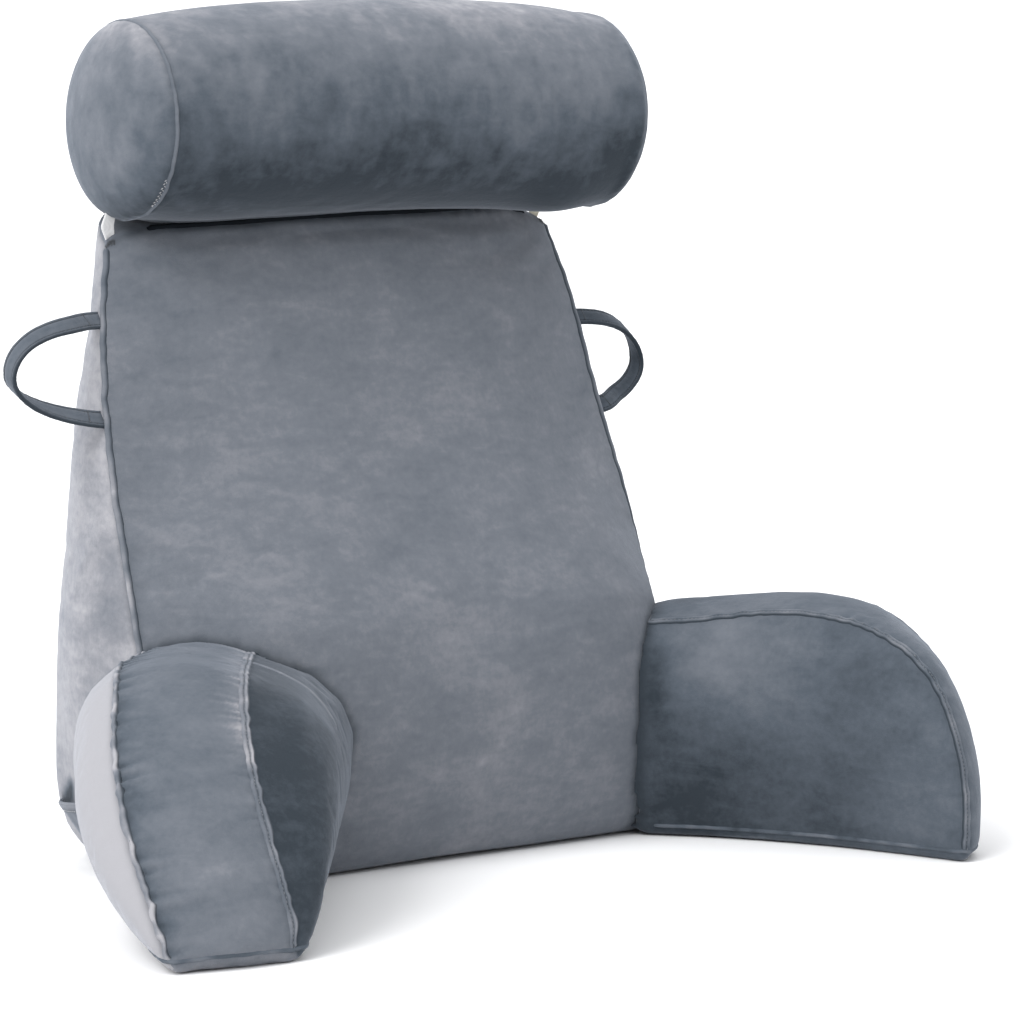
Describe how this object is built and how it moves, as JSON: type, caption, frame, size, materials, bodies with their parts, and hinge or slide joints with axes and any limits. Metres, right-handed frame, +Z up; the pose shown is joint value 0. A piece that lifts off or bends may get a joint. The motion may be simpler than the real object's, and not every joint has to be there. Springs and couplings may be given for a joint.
{
  "type": "reading pillow",
  "caption": "Reading pillow with arms: a plush wedge backrest with a separate neck roll, side handle loops and a side pocket.",
  "frame": {"origin": "middle of the back cushion's flat base, on the surface the pillow stands on", "axes": "+Z up; -Y is the way the pillow faces, where the sitter's back rests; +X runs across it towards the arm on the viewer's right"},
  "size_m": [0.8383, 0.5037, 0.6777],
  "materials": {
    "upholstery": "blue-grey velvet with a brushed nap",
    "strap": "the same velvet folded into a narrow topstitched strap",
    "elastic": "off-white woven elastic"
  },
  "bodies": {
    "root": {"back_cushion": "upholstery", "arm_left": "upholstery", "arm_right": "upholstery", "neck_roll": "upholstery", "handle_left": "strap", "handle_right": "strap", "roll_tab_left": "elastic", "roll_tab_right": "elastic", "side_pocket": "upholstery"}
  },
  "joints": []
}
